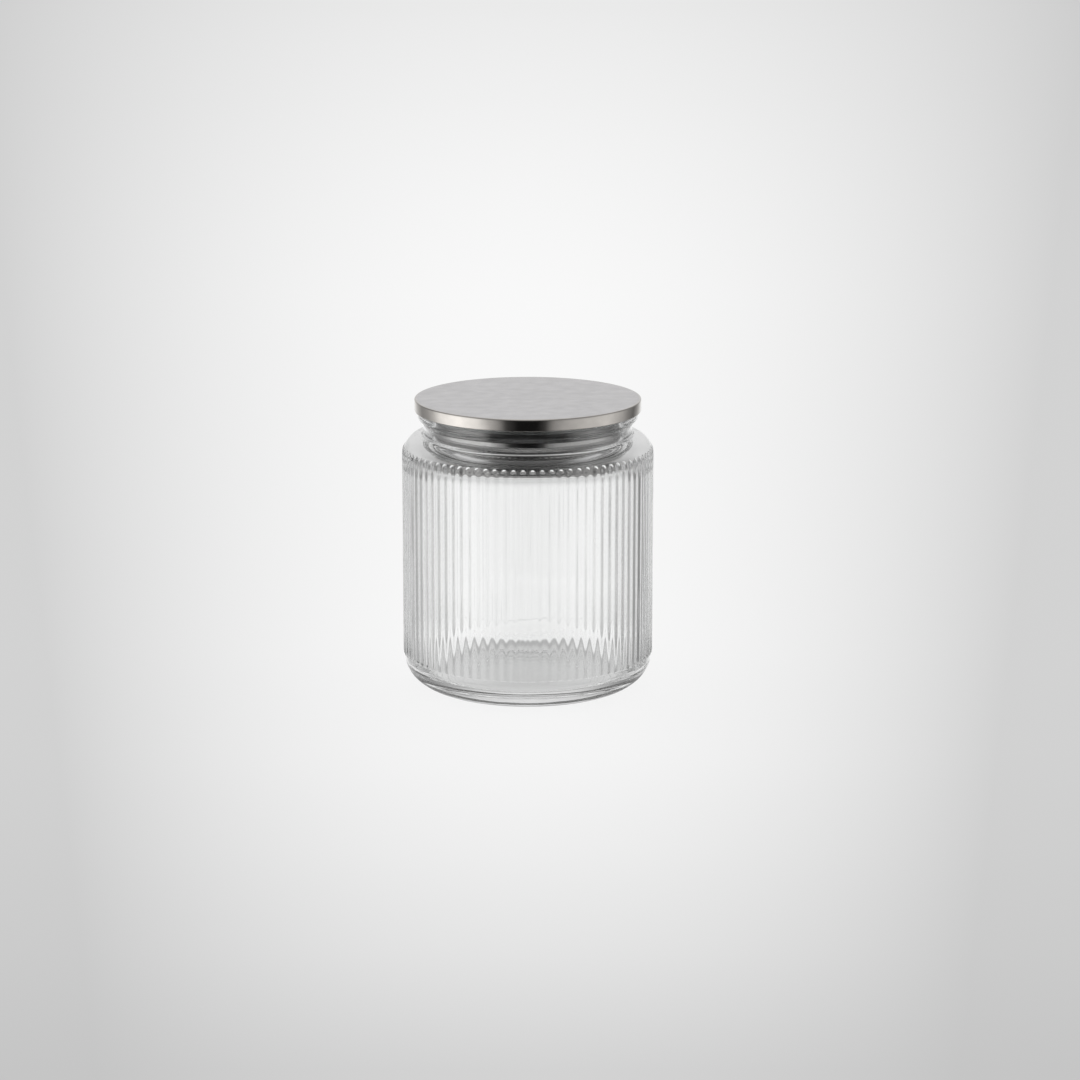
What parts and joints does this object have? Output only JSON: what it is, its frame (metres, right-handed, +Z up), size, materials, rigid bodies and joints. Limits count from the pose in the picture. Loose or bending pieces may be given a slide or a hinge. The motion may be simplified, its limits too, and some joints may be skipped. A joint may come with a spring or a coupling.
{
  "type": "ribbed glass storage jar with steel lid",
  "caption": "Round clear glass storage jar with upright ribs round its body, a short neck, and a flat brushed steel lid that lifts off on a clear seal.",
  "frame": {"origin": "centre of the foot, on the surface that the jar stands on", "axes": "+Z up along the jar's axis, from the foot to the lid"},
  "size_m": [0.1, 0.1, 0.1163],
  "materials": {
    "clear_glass": "clear pressed glass, polished",
    "brushed_steel": "fine brushed top, satin band",
    "drawn_steel": "bright drawn sheet",
    "clear_silicone": "translucent silicone"
  },
  "bodies": {
    "jar": {"glass_jar": "clear_glass"},
    "lid": {"lid_cap": "brushed_steel", "lid_plug": "drawn_steel", "seal_ring": "clear_silicone"}
  },
  "joints": [
    {"name": "lid_lift", "type": "slide", "parent": "jar", "child": "lid", "axis": [0, 0, 1], "range_m": [0, 0.05]}
  ]
}
